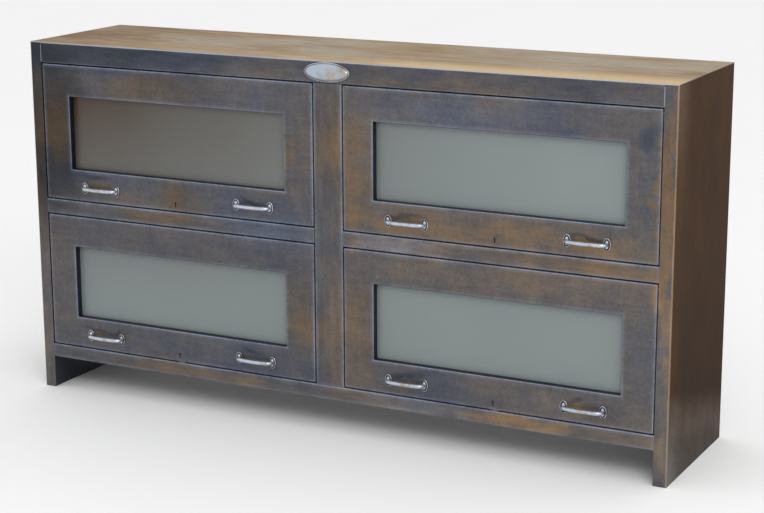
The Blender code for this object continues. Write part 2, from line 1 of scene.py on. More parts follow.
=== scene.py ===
# %% [markdown]
# # A sheet-steel sideboard with four glazed lift-up doors
#
# The imported model is the fixed skeleton of the sideboard: where every sheet, pane and pin sits, and what
# moves with what. This lesson dresses it. Pieces that show are modelled again with fine folds and edges,
# in the very places that the skeleton gives, and everything gets a finish worked out by shader nodes.
#
# The first cell loads the skeleton, moves each node's placement into its mesh, and gives a helper for a
# node's box.

# %% Load the frame
import math

import bmesh
import bpy
from mathutils import Matrix, Vector


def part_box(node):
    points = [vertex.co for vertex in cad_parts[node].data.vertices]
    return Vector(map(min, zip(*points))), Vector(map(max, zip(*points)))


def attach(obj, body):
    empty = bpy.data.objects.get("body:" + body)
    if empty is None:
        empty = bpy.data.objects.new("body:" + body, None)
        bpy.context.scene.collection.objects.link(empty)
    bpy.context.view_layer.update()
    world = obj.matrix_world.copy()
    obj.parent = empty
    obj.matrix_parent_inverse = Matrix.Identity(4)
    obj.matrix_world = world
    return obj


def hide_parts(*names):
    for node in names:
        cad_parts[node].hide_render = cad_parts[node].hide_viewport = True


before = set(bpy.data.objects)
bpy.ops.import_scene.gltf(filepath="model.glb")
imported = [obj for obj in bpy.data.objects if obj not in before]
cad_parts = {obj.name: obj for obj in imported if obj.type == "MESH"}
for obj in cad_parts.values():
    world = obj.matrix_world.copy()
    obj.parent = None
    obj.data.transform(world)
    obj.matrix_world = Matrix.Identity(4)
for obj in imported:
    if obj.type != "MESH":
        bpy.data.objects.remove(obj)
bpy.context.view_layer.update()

# %% [markdown]
# ## Sizes that the sheets share
#
# All sizes come from the frame. The back panel is a flat sheet, so its depth is the sheet's thickness; the
# side skin starts at the front plane and runs to the back; the rails give the heights of the sills.
# Only the small things that the frame can't say are chosen here, such as the outer radius of a fold.

# %% Sizes from the frame
MM = 0.001
SEAM = 0.3 * MM
FOLD = 2.6 * MM  # outer radius of every fold

back_low, back_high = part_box("back_panel")
shell_low, shell_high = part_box("side_shell_right")
top_low, top_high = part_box("top_panel")
SHEET = back_high.y - back_low.y
FRONT, BACK = shell_low.y, shell_high.y
HALF, TOP = top_high.x, top_high.z
INNER = shell_low.x
print("sheet", round(SHEET / MM, 2), "mm; front at", round(FRONT, 4), "back at", round(BACK, 4))

CELLS = ("upper_left", "upper_right", "lower_left", "lower_right")

# %% [markdown]
# ## Camera
#
# The camera stands to the right of the middle and a little above the top, so that the front, the right end
# and the top all show. Its place is measured from the front, bottom and middle of the cabinet. Building
# the rotation from three axes is more exact than aiming with a constraint, and nothing can shift it later.

# %% Camera
TURN, TILT, ROLL = math.radians(27.3367), math.radians(13.6742), math.radians(-0.219)
STAND = Vector((1.86309, -3.36150, 1.32074))
SENSOR, LENS = 36, 89.21  # millimetres, as a camera maker counts them


def aim(turn, tilt, roll):
    """Axes of a camera turned to its left by turn, tilted down by tilt and rolled about its own view."""
    ahead = Vector((-math.sin(turn) * math.cos(tilt), math.cos(turn) * math.cos(tilt), -math.sin(tilt)))
    side = Vector((math.cos(turn), math.sin(turn), 0))
    over = side.cross(ahead)
    right = side * math.cos(roll) + over * math.sin(roll)
    up = over * math.cos(roll) - side * math.sin(roll)
    return Matrix((right, up, -ahead)).transposed().to_4x4()


camera = bpy.data.objects.new("camera", bpy.data.cameras.new("camera"))
bpy.context.scene.collection.objects.link(camera)
camera.data.sensor_width, camera.data.lens = SENSOR, LENS
camera.matrix_world = Matrix.Translation(STAND + Vector((0, FRONT, 0))) @ aim(TURN, TILT, ROLL)
bpy.context.scene.camera = camera
bpy.context.scene.view_settings.view_transform = "Standard"
print("camera at", tuple(round(c, 3) for c in camera.matrix_world.translation))

# %% [markdown]
# ## A way to write shader maths
#
# A finish is a small sum: so much blue where this noise is low, so much brown where it is high. Wiring it
# by hand takes pages. Wrapping a socket in a class that knows +, - and * lets each finish be written as
# that sum, and every operation still becomes an ordinary node that can be opened in the editor.


# %% Sockets that do sums
class Wire:
    """A value, vector or colour on its way through a material."""

    def __init__(self, recipe, socket):
        self.recipe, self.socket = recipe, socket

    def sum(self, operation, *terms):
        return self.recipe.add("ShaderNodeMath", {"operation": operation}, dict(enumerate(terms)))

    def __add__(self, other):
        return self.sum("ADD", self, other)

    __radd__ = __add__

    def __sub__(self, other):
        return self.sum("SUBTRACT", self, other)

    def __rsub__(self, other):
        return self.sum("SUBTRACT", other, self)

    def __mul__(self, other):
        return self.sum("MULTIPLY", self, other)

    __rmul__ = __mul__

    def between(self, low, high):
        """0 below low, 1 above high, and a smooth climb between them."""
        settings = {"interpolation_type": "SMOOTHSTEP"}
        inputs = {"Value": self, "From Min": low, "From Max": high}
        return self.recipe.add("ShaderNodeMapRange", settings, inputs)

    def power_of_two(self):
        """Two to the power of this value: 1 makes a tint twice as light, -1 half as light."""
        return self.sum("POWER", 2.0, self)

    def vector(self, operation, other):
        return self.recipe.add("ShaderNodeVectorMath", {"operation": operation}, {0: self, 1: other})

    def length(self):
        return self.recipe.add("ShaderNodeVectorMath", {"operation": "LENGTH"}, {0: self}, "Value")


print("Wire knows +, -, *, between, power_of_two, vector and length")

# %% [markdown]
# Every finish starts alike: a new material, its Principled shader, and the place on the piece where a
# pattern is read. One class holds these three and adds nodes on demand, so that a finish below is only
# what makes it different. Patterns read Object coordinates, which are metres on the cabinet itself, so a
# noise has the same grain on a wide rail and on a narrow one.


# %% Recipes
class Recipe:
    """A material's nodes, with the Principled shader as the dish they all go into."""

    def __init__(self, name):
        self.material = bpy.data.materials.new(name)
        self.material.use_nodes = True
        self.tree = self.material.node_tree
        self.shader = self.tree.nodes["Principled BSDF"]
        self.place = self.add("ShaderNodeTexCoord", {}, {}, "Object")

    def add(self, kind, settings, inputs, output=0):
        """Adds a node: its settings first, then the values or wires of its sockets."""
        node = self.tree.nodes.new(kind)
        for name, value in settings.items():
            setattr(node, name, value)
        for name, value in inputs.items():
            self.feed(node.inputs[name], value)
        return Wire(self, node.outputs[output])

    def feed(self, socket, value):
        if isinstance(value, Wire):
            self.tree.links.new(value.socket, socket)
        elif hasattr(value, "__len__") and len(value) == 3 and socket.type == "RGBA":
            socket.default_value = (*value, 1.0)
        else:
            socket.default_value = value

    def noise(self, scale, detail, roughness, stretch=(1, 1, 1), shift=(0, 0, 0)):
        """Cloudy noise from 0 to 1. A stretch over 1 squeezes the pattern along an axis."""
        spot = self.add("ShaderNodeMapping", {}, {0: self.place, "Scale": stretch, "Location": shift})
        inputs = {"Vector": spot, "Scale": scale, "Detail": detail, "Roughness": roughness}
        return self.add("ShaderNodeTexNoise", {}, inputs)

    def along(self, axis):
        """How far the place lies along x (0), y (1) or z (2), in metres."""
        return self.add("ShaderNodeSeparateXYZ", {}, {0: self.place}, axis)

    def blend(self, share, first, second):
        """The first colour where share is 0 and the second where it is 1."""
        settings = {"data_type": "RGBA", "clamp_factor": True}
        return self.add("ShaderNodeMix", settings, {0: share, 6: first, 7: second}, 2)

    def tint(self, colour, strength):
        """A colour made lighter or darker by a value."""
        grey = self.add("ShaderNodeCombineColor", {}, {0: strength, 1: strength, 2: strength})
        settings = {"data_type": "RGBA", "blend_type": "MULTIPLY"}
        return self.add("ShaderNodeMix", settings, {0: 1.0, 6: colour, 7: grey}, 2)

    def mark(self, name):
        """A number stored on the piece's faces, and 0 where the piece has none."""
        return self.add("ShaderNodeAttribute", {"attribute_name": name}, {}, "Fac")

    def bump(self, height, distance, strength, under=None):
        """Small relief. under is a coarser relief that this one lies on."""
        inputs = {"Height": height, "Distance": distance, "Strength": strength}
        if under:
            inputs["Normal"] = under
        return self.add("ShaderNodeBump", {}, inputs)

    def done(self, **inputs):
        """Feeds the shader's sockets, with _ for the spaces in their names, and gives the material."""
        for name, value in inputs.items():
            self.feed(self.shader.inputs[name.replace("_", " ")], value)
        print("material", self.material.name, "with", len(self.tree.nodes), "nodes")
        return self.material


print("a recipe adds noise, blend, tint, mark, along and bump")

# %% [markdown]
# ## The patina
#
# The steel is blackened, sanded back by hand and lacquered. What shows is blue-grey oxide where the sheet
# was left dark, rust brown where it was rubbed and wetted, and bright metal along the folds, where the
# sandpaper bites first; that brightness is partly a painted highlight, strongest on folds that look up.
# Noise alone spreads the brown evenly and looks like camouflage. A finisher works patch by patch, so the
# patches are placed here, as a list of soft ovals, and the noise only frays them and drags them along each
# member.
#
# An oval is its middle along the length and up, its half length and half height, how much warmer it makes
# the steel, and how much lighter. The lightness is partly the finisher's and partly painted light and shade:
# it darkens the left end and lightens the lower right, the side the light comes from. Each handle adds two
# more: brown and lighter round the bar, partly finger wear and partly a painted warm reflection, and a short
# dark streak above it, which is painted shade behind the bar.

# %% Where the finisher rubbed, with painted light and shade
# Round each bar: warmer and lighter, partly finger wear and partly a painted warm reflection. Above it: a
# dark streak, painted shade behind the bar.
FINGER_WEAR_AND_REFLECTION, BAR_SHADE_STREAK = (-0.003, 0.050, 0.013, 0.50, 0.15), (0.016, 0.034, 0.005, -0.20, -0.70)
STAINS_AND_SHADE = [
    (-0.62, 0.790, 0.36, 0.050, -0.90, -0.95),
    (0.42, 0.400, 0.45, 0.450, 0.06, 0.04),
    (0.00, 0.785, 0.32, 0.022, -0.25, -0.40),
    (-0.72, 0.620, 0.11, 0.210, 0.15, -1.35),
    (-0.66, 0.500, 0.10, 0.070, -0.20, -0.45),
    (-0.695, 0.600, 0.03, 0.090, 0.55, 0.10),
    (-0.42, 0.715, 0.14, 0.035, 0.30, -0.30),
    (-0.17, 0.700, 0.08, 0.050, -0.25, 0.05),
    (-0.12, 0.600, 0.03, 0.080, 0.30, -0.25),
    (-0.58, 0.500, 0.14, 0.025, -0.45, -0.20),
    (-0.37, 0.470, 0.06, 0.040, 0.35, -0.30),
    (-0.18, 0.470, 0.12, 0.045, -0.40, -0.05),
    (0.00, 0.650, 0.05, 0.120, 0.15, -0.25),
    (0.28, 0.756, 0.24, 0.014, 0.30, -0.10),
    (0.50, 0.785, 0.16, 0.030, -0.20, -0.40),
    (0.27, 0.705, 0.18, 0.050, -0.35, 0.20),
    (0.49, 0.705, 0.08, 0.050, -0.35, -0.05),
    (0.06, 0.570, 0.04, 0.150, 0.40, 0.00),
    (0.36, 0.470, 0.34, 0.045, 0.40, 0.10),
    (0.695, 0.690, 0.02, 0.035, -0.60, -0.60),
    (0.742, 0.590, 0.02, 0.170, 1.00, 0.00),
    (0.742, 0.300, 0.02, 0.150, 0.50, 0.35),
    (0.742, 0.060, 0.03, 0.050, 0.30, 0.60),
    (-0.742, 0.420, 0.03, 0.100, 0.30, -0.30),
    (-0.745, 0.620, 0.02, 0.200, 0.15, -0.45),
    (-0.44, 0.427, 0.10, 0.020, 0.35, -0.20),
    (-0.15, 0.427, 0.12, 0.030, -0.40, 0.25),
    (0.00, 0.430, 0.05, 0.060, -0.20, -0.25),
    (0.15, 0.427, 0.08, 0.020, -0.10, 0.75),
    (0.62, 0.425, 0.16, 0.020, 0.35, 0.00),
    (-0.07, 0.250, 0.04, 0.100, 0.30, -0.10),
    (0.04, 0.220, 0.06, 0.150, 0.35, 0.05),
    (-0.26, 0.140, 0.30, 0.060, -0.30, -0.05),
    (0.23, 0.135, 0.11, 0.040, -0.50, -0.25),
    (0.50, 0.130, 0.10, 0.040, 0.20, 0.30),
    (0.36, 0.385, 0.35, 0.035, 0.20, 0.10),
    (0.70, 0.230, 0.05, 0.120, -0.15, 0.00),
    (-0.42, 0.085, 0.14, 0.020, 0.50, 0.10),
    (-0.20, 0.085, 0.10, 0.020, 0.45, 0.20),
    (0.20, 0.085, 0.12, 0.020, -0.10, 0.60),
    (0.42, 0.083, 0.12, 0.018, 0.75, 0.60),
]
for cell in CELLS:
    for suffix in ("left", "right"):
        low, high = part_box(f"{cell}_handle_{suffix}")
        middle = (low + high) / 2
        for rise, *patch in (FINGER_WEAR_AND_REFLECTION, BAR_SHADE_STREAK):
            STAINS_AND_SHADE.append((middle.x, middle.z + rise, *patch))
print(len(STAINS_AND_SHADE), "patches")

# %% [markdown]
# The same recipe finishes the whole front, so that a patch runs on from a rail into a door. Only the
# flanks and the top were rubbed differently, and they get their own palettes further down.
#
# Faces carry three numbers of their own: the wear mark is highest on the round of a fold, where the bright
# edge is partly wear and partly a painted highlight; upright says how far the grain runs up instead of
# along; and recess is highest on sheet that is folded back into the window's reveal, which the patina paints
# near-black navy as painted shade. The back was blackened with the rest and never rubbed, so its only patch
# is one that dulls the whole sheet.

# %% The patina's recipe
OXIDE_DARK, OXIDE_PALE = (0.042, 0.053, 0.088), (0.118, 0.130, 0.164)
BROWN_DARK, BROWN_PALE = (0.082, 0.065, 0.046), (0.184, 0.143, 0.101)
RUST = (0.200, 0.118, 0.060)
# The bright fold colour is partly bare metal and partly a painted highlight.
BRIGHT_EDGE = (0.33, 0.39, 0.52)
# Near-black navy: painted shade in the window reveals.
REVEAL_SHADE = (0.012, 0.016, 0.030)
SHEET_METALLIC = 0.7  # lacquer over steel: less than bare metal
LACQUER, LACQUER_ROUGHNESS = 0.08, 0.22
DULL_ALL_OVER = [(0.0, 0.4, 0.9, 0.6, 0.25, -0.70)]


def grain(recipe, scale, detail, along, across):
    """Noise drawn out along each member, from 0 to 1."""
    level = recipe.noise(scale, detail, 0.6, stretch=(along, across, across))
    upright = recipe.noise(scale, detail, 0.6, stretch=(across, across, along))
    turn = recipe.mark("upright")
    return level * (1 - turn) + upright * turn


def rubbed(recipe, stains_and_shade):
    """How warm and how light the steel is from the patches: the finisher's rubbing and painted light and
    shade.
    """
    wander = recipe.add("ShaderNodeTexNoise", {}, {"Vector": recipe.place, "Scale": 11.0, "Detail": 3.0}, 1)
    drift = wander.vector("SUBTRACT", (0.5, 0.5, 0.5)).vector("MULTIPLY", (0.16, 0, 0.07))
    spot = recipe.place.vector("ADD", drift)
    warmth, light = 0.0, 0.0
    for x, z, wide, high, warmer, lighter in stains_and_shade:
        away = spot.vector("SUBTRACT", (x, 0, z)).vector("MULTIPLY", (1 / wide, 0, 1 / high)).length()
        inside = 1 - away.between(0.15, 1.5)
        warmth = inside * warmer + warmth
        light = inside * lighter + light
    return warmth, light


def patina(name, stains_and_shade):
    """Oxide and brown, mixed by frayed noise and the patches, with bright folds and dark recesses."""
    recipe = Recipe(name)
    brush = grain(recipe, 34.0, 4.0, 0.5, 2.2)
    drag = grain(recipe, 6.0, 4.0, 0.8, 1.4)
    cloud = recipe.noise(7.5, 5.0, 0.62, shift=(3.1, 0, 1.7))
    speck = recipe.noise(160.0, 4.0, 0.7)
    smear = recipe.noise(22.0, 5.0, 0.7, shift=(0, 2, 0))
    warmth, light = rubbed(recipe, stains_and_shade)
    frayed = cloud * 0.80 + drag * 0.35 + brush * 0.15 + smear * 0.22
    warm = (frayed + warmth * 0.75).between(0.28, 1.30)
    tone = (cloud * 0.25 + drag * 0.30 + brush * 0.25 + speck * 0.2).between(0.25, 0.75)
    oxide = recipe.blend(tone, OXIDE_DARK, OXIDE_PALE)
    brown = recipe.blend(tone, BROWN_DARK, BROWN_PALE)
    brown = recipe.blend((warm + brush * 0.5).between(0.85, 1.35) * 0.6, brown, RUST)
    steel = recipe.blend(warm, oxide, brown)
    mottle = (speck - 0.5) * 0.6 + (brush - 0.5) * 0.6 + (smear - 0.5) * 0.4
    # The patches' lightness, partly painted light and shade, darkens or lightens the steel here.
    steel = recipe.tint(steel, (light * 1.05 - 0.06 + mottle).power_of_two())
    # Bright folds: partly wear, partly a painted highlight.
    edge = recipe.mark("wear_and_sheen") * (speck * 0.3 + cloud * 0.6 + brush * 0.5).between(0.40, 0.85)
    colour = recipe.blend(edge * 0.9, steel, BRIGHT_EDGE)
    # Window reveals: painted shade.
    colour = recipe.blend(recipe.mark("recess") * 0.9, colour, REVEAL_SHADE)
    rough = 0.36 + brush * 0.10 + speck * 0.08 - edge * 0.08
    waves = recipe.bump(recipe.noise(7.0, 1.0, 0.4, shift=(0, 5, 0)), 0.004, 0.35)
    skin = recipe.bump(brush * 0.5 + speck * 0.5, 0.0004, 0.4, under=waves)
    return recipe.done(
        Base_Color=colour, Roughness=rough, Normal=skin, Metallic=SHEET_METALLIC,
        Coat_Weight=LACQUER, Coat_Roughness=LACQUER_ROUGHNESS,
    )


PATINA = patina("patinated_steel", STAINS_AND_SHADE)
BACK_STEEL = patina("back_steel", DULL_ALL_OVER)

# %% [markdown]
# ## Side skins and top sheet
#
# The side skins stayed dark: brown oxide with fine upright streaks. Near the floor they are paler and
# greyer, a painted reflection of the pale floor, and their upper front corner has a painted sheen. The
# skin's front fold is the stile, which takes the front's patina. One material could mix both by direction,
# but a second material slot is plainer: when the skins are made, only their faces that look sideways get
# this finish.
#
# The top is the most handled face. It is rubbed through to tan and gold, in long strokes that follow its
# length. Along the front edge it is palest and most golden, partly rubbing and partly a painted reflection
# of the pale room at a grazing angle. Both reflect little, or the pale room would wash them out.

# %% Side and top finishes
# The pale grey low on the flank is a painted reflection of the floor; the brownish grey is a painted sheen.
FLANK_DARK, FLANK_PALE, FLANK_FLOOR_REFLECTION = (0.019, 0.008, 0.003), (0.066, 0.031, 0.012), (0.125, 0.118, 0.110)
# The gold along the top's front is partly a painted reflection of the pale room.
TAN_DARK, TAN_PALE, GOLD_AND_REFLECTION = (0.165, 0.096, 0.044), (0.400, 0.300, 0.190), (0.600, 0.440, 0.240)
TAN_GREY, FLANK_SHEEN = (0.335, 0.315, 0.265), (0.110, 0.078, 0.058)
FLANK_EDGE = (0.34, 0.22, 0.11)


def flank():
    """Dark brown oxide with painted light set by height and depth: floor reflection low, sheen high in
    front.
    """
    recipe = Recipe("flank_steel")
    fibre = recipe.noise(13.0, 6.0, 0.68, stretch=(1, 2.6, 0.9))
    cloud = recipe.noise(4.2, 4.0, 0.6, shift=(1.0, 2.0, 0))
    speck = recipe.noise(190.0, 3.0, 0.6)
    height, depth = recipe.along(2), recipe.along(1)
    # Painted reflection of the pale floor, low down and reaching higher at the front.
    foot = 1 - (height + cloud * 0.10 + depth * 0.25).between(0.03, 0.20)
    near = 1 - depth.between(FRONT, FRONT + 0.09)
    tone = (fibre * 0.35 + cloud * 0.45 + height * 0.28 + near * 0.2).between(0.15, 1.0)
    colour = recipe.blend(tone, FLANK_DARK, FLANK_PALE)
    # Painted sheen on the upper front corner.
    upper_front_sheen = height.between(0.50, 0.95) * near * (0.6 + cloud * 0.8)
    colour = recipe.blend(upper_front_sheen, colour, FLANK_SHEEN)
    # A slanting band of painted floor reflection just above the foot.
    reflection_level = height + cloud * 0.08 + depth * 0.25
    floor_reflection_band = reflection_level.between(0.08, 0.125) * (1 - reflection_level.between(0.125, 0.19)) * (0.3 + fibre)
    colour = recipe.blend(floor_reflection_band * 0.6, colour, FLANK_SHEEN)
    colour = recipe.blend(foot * (0.3 + near * 0.6 + fibre * 0.3), colour, FLANK_FLOOR_REFLECTION)
    colour = recipe.tint(colour, ((speck - 0.5) * 0.9 + (fibre - 0.5) * 0.9).power_of_two())
    # Golden fold edges: partly wear, partly a painted highlight.
    edge = recipe.mark("wear_and_sheen") * (speck * 0.5 + fibre * 0.8).between(0.25, 0.6)
    colour = recipe.blend(edge * 1.6, colour, FLANK_EDGE)
    rough = 0.40 + fibre * 0.16
    skin = recipe.bump(fibre * 0.5 + speck * 0.5, 0.0005, 0.4)
    return recipe.done(
        Base_Color=colour, Roughness=rough, Normal=skin, Metallic=0.0, Specular_IOR_Level=0.02
    )


def rubbed_top():
    """Tan strokes on darker tan; gold, partly painted reflection, along the front to the right; grey clouds
    behind.
    """
    recipe = Recipe("rubbed_top_steel")
    stroke = recipe.noise(10.0, 6.0, 0.62, stretch=(0.6, 4, 1))
    cloud = recipe.noise(5.0, 4.0, 0.6, stretch=(0.7, 1.8, 1), shift=(4, 1, 0))
    scratch = recipe.noise(60.0, 2.0, 0.7, stretch=(0.35, 6, 1))
    speck = recipe.noise(190.0, 3.0, 0.6)
    along, depth = recipe.along(0), recipe.along(1)
    # Paler and gold along the front edge: partly rubbing, partly a painted reflection at a grazing angle.
    front = 1 - (depth + (stroke - 0.5) * 0.08).between(FRONT + 0.01, FRONT + 0.12)
    left = 1 - along.between(-0.85, -0.25)
    tone = (stroke * 0.8 + cloud * 0.35 + scratch * 0.3 + front * 0.1 - left * 0.2).between(0.36, 0.98)
    colour = recipe.blend(tone, TAN_DARK, TAN_PALE)
    colour = recipe.blend(front * (along + stroke * 0.8).between(0.2, 0.7) * 0.8, colour, GOLD_AND_REFLECTION)
    grey = (cloud * 0.9 + scratch * 0.4 - front * 0.6 - left * 0.15).between(0.52, 0.85)
    colour = recipe.blend(grey * 0.8, colour, TAN_GREY)
    colour = recipe.tint(colour, ((speck - 0.5) * 0.6 + (scratch - 0.5) * 0.6).power_of_two())
    # Bright front edge: partly wear, partly a painted highlight.
    edge = recipe.mark("wear_and_sheen") * (speck * 0.4 + stroke * 0.8).between(0.2, 0.6)
    colour = recipe.blend(edge * 0.85, colour, BRIGHT_EDGE)
    skin = recipe.bump(scratch * 0.5 + stroke * 0.3 + speck * 0.2, 0.0005, 0.4)
    rough = 0.46 + stroke * 0.16
    return recipe.done(
        Base_Color=colour, Roughness=rough, Normal=skin, Metallic=0.05, Specular_IOR_Level=0.03
    )


FLANK, TOP_STEEL = flank(), rubbed_top()

# %% [markdown]
# ## Bright steel, inner steel and glass
#
# Handles are forged bar, filed bright and darkened again where fingers don't reach. The badge is a pale
# rubbed plate. Inside, the sheets were only oiled. The panes are grey-green glass, obscured so that what
# is stored behind them stays a blur.


# %% Small finishes
def bright_steel(name, pale, dark, scale, metallic, tarnish=(0.42, 0.33, 0.20)):
    """Worn bright metal with dirt in a cloud, yellow tarnish in another, and fine scratches."""
    recipe = Recipe(name)
    cloud = recipe.noise(scale, 4.0, 0.6)
    yellow = recipe.noise(scale * 0.6, 3.0, 0.6, shift=(2, 0, 5))
    hair = recipe.noise(scale * 9, 3.0, 0.7, stretch=(0.5, 1, 4))
    dirt = (cloud * 0.9 + hair * 0.3 + recipe.mark("recess") * 0.6).between(0.55, 1.05)
    colour = recipe.blend(yellow.between(0.50, 0.66) * 0.7, pale, tarnish)
    colour = recipe.blend(dirt, colour, dark)
    rough = 0.20 + cloud * 0.2 + dirt * 0.2
    skin = recipe.bump(hair * 0.5 + cloud * 0.5, 0.0004, 0.5)
    return recipe.done(Base_Color=colour, Roughness=rough, Normal=skin, Metallic=metallic)


HANDLE_STEEL = bright_steel("worn_bright_steel", (0.52, 0.58, 0.69), (0.085, 0.060, 0.042), 90.0, 0.9)
BADGE_STEEL = bright_steel("rubbed_plate", (0.44, 0.49, 0.58), (0.150, 0.120, 0.085), 34.0, 0.85)
LOCK_STEEL = bright_steel(
    "oiled_lock_steel", (0.17, 0.16, 0.15), (0.06, 0.05, 0.045), 60.0, 0.9, (0.16, 0.14, 0.11)
)
PLATED = bright_steel("zinc_plate", (0.55, 0.56, 0.58), (0.33, 0.33, 0.32), 70.0, 1.0, (0.50, 0.49, 0.44))


def inner_steel(name, dark, pale):
    """Oiled sheet that nobody rubbed: a cloud and a fine speck between two tones."""
    recipe = Recipe(name)
    cloud = recipe.noise(5.0, 4.0, 0.6)
    speck = recipe.noise(140.0, 3.0, 0.6)
    tone = (cloud * 0.75 + speck * 0.25).between(0.3, 0.75)
    colour = recipe.blend(tone, dark, pale)
    rough = 0.42 + cloud * 0.16
    skin = recipe.bump(speck, 0.0003, 0.4)
    return recipe.done(Base_Color=colour, Roughness=rough, Normal=skin, Metallic=SHEET_METALLIC)


# Where the painted brown reflection on the upper left pane is centred, and how far it reaches.
REFLECTION_MIDDLE, REFLECTION_REACH = (-0.68, 0.0, 0.71), (1 / 0.82, 0.0, 1 / 0.38)
PANE_DARK, PANE_PALE, PANE_REFLECTION = (0.178, 0.212, 0.216), (0.212, 0.242, 0.240), (0.052, 0.030, 0.016)
PANE_ALPHA, PANE_COAT, PANE_COAT_ROUGHNESS = 0.94, 0.15, 0.12


def pane_glass():
    """Grey-green glass, with a painted brown reflection on the upper left pane, strongest in its top corner.
    """
    recipe = Recipe("obscured_glass")
    ripple = recipe.noise(240.0, 2.0, 0.5)
    haze = recipe.noise(3.2, 3.0, 0.5)
    # Painted reflection, strongest at its middle.
    away = recipe.place.vector("SUBTRACT", REFLECTION_MIDDLE).vector("MULTIPLY", REFLECTION_REACH).length()
    painted_reflection = 1 - away.between(-0.1, 1.5)
    colour = recipe.blend(haze * 1.4 - 0.2, PANE_DARK, PANE_PALE)
    colour = recipe.blend(painted_reflection + (haze - 0.5) * painted_reflection * 0.4, colour, PANE_REFLECTION)
    rough = 0.32 + haze * 0.12
    skin = recipe.bump(ripple, 0.0003, 0.3)
    return recipe.done(
        Base_Color=colour, Roughness=rough, Normal=skin, Alpha=PANE_ALPHA,
        Coat_Weight=PANE_COAT, Coat_Roughness=PANE_COAT_ROUGHNESS,
    )


LINER_STEEL = inner_steel("oiled_liner_steel", (0.018, 0.023, 0.036), (0.060, 0.062, 0.072))
INNER_STEEL = inner_steel("oiled_shelf_steel", (0.070, 0.073, 0.080), (0.150, 0.143, 0.138))
GLASS = pane_glass()

# %% [markdown]
# ## Working sheet metal in bmesh
#
# A folded sheet is made the way the brake press makes it: a flat strip, then one flange after another,
# then a round at every fold, then its thickness. In bmesh that is one edge, extruded flange by flange,
# with bevel for the folds and a Solidify modifier for the thickness. Drawing the section's inside and
# outside by hand would give the same shape with four times the code, and a wrong radius would be hard to
# see.
#
# Faces are marked as they are made, because only here does the script still know what is fold and what is
# flat.


# %% Sheet helpers
MARKS = ("wear_and_sheen", "upright", "recess")
FOLD_SEGMENTS = 4
# Beside a fold the flat is paler for a little way: wear, and a painted highlight spreading from the fold.
WEAR_AND_SHEEN_REACH = 5 * MM  # how far beside a fold the sandpaper still bites


def new_mesh():
    """An empty bmesh whose faces can be marked."""
    bm = bmesh.new()
    for name in MARKS:
        bm.faces.layers.float.new(name)
    return bm


def mark(bm, faces, **values):
    for name, value in values.items():
        layer = bm.faces.layers.float[name]
        for face in faces:
            face[layer] = value


def only(found, kind):
    return [item for item in found if isinstance(item, kind)]


def round_edges(bm, edges, radius, segments=FOLD_SEGMENTS, wear_and_sheen=1.0):
    """Rounds edges and marks the new faces as worn and as catching a painted highlight."""
    made = bmesh.ops.bevel(
        bm, geom=edges, offset=radius, segments=segments, profile=0.5, affect="EDGES", material=-1
    )["faces"]
    mark(bm, made, wear_and_sheen=wear_and_sheen)
    return made


def wear_and_sheen_rim(bm, faces):
    """Two narrow strips along a flat's border, paler away from the fold: wear and the fold's painted
    highlight.
    """
    for width, wear_and_sheen in ((WEAR_AND_SHEEN_REACH / 3, 0.45), (WEAR_AND_SHEEN_REACH * 2 / 3, 0.18)):
        strip = bmesh.ops.inset_region(
            bm, faces=faces, thickness=width, use_boundary=True, use_even_offset=True
        )["faces"]
        mark(bm, strip, wear_and_sheen=wear_and_sheen)


def front_faces(bm):
    """The flat faces that lie in the front plane."""
    flat = [face for face in bm.faces if abs(face.normal.y) > 0.999]
    return [face for face in flat if abs(face.calc_center_median().y - FRONT) < SEAM]


def grow(bm, edges, matrix):
    """Extrudes a row or ring of edges, moves the new one by a matrix, and gives the new edges."""
    made = bmesh.ops.extrude_edge_only(bm, edges=edges)["geom"]
    bmesh.ops.transform(bm, matrix=matrix, verts=only(made, bmesh.types.BMVert))
    return only(made, bmesh.types.BMEdge)


def middle_of(row):
    """The middle of a ring of edges. Each corner counts twice, once for each of its two edges."""
    return sum((vert.co for edge in row for vert in edge.verts), Vector()) / (2 * len(row))


print("faces can be marked with", *MARKS)

# %% [markdown]
# A finished sheet is always handed over in the same order: fill what is open on a solid, give a sheet its
# thickness, cut the holes, and only then set which edges are sharp. Cuts leave long thin faces behind, and
# weighted normals make the flats beside them shade as flats. Each piece then rides on its body, carries its
# finish, and hides the nodes of the skeleton that it stands for.


# %% Finishing a piece
SHARP, SHARP_BEAD = 35.0, 60.0  # degrees
# Folds that look up are painted brighter: partly wear, partly a painted highlight from the light above.
WEAR_AND_SHEEN_BASE, WEAR_AND_SHEEN_UP = 0.45, 0.55


def apply_modifier(piece, kind, **settings):
    """Adds a modifier with its settings and applies it at once."""
    modifier = piece.modifiers.new(kind.lower(), kind)
    for name, value in settings.items():
        setattr(modifier, name, value)
    with bpy.context.temp_override(object=piece, active_object=piece):
        bpy.ops.object.modifier_apply(modifier=modifier.name)


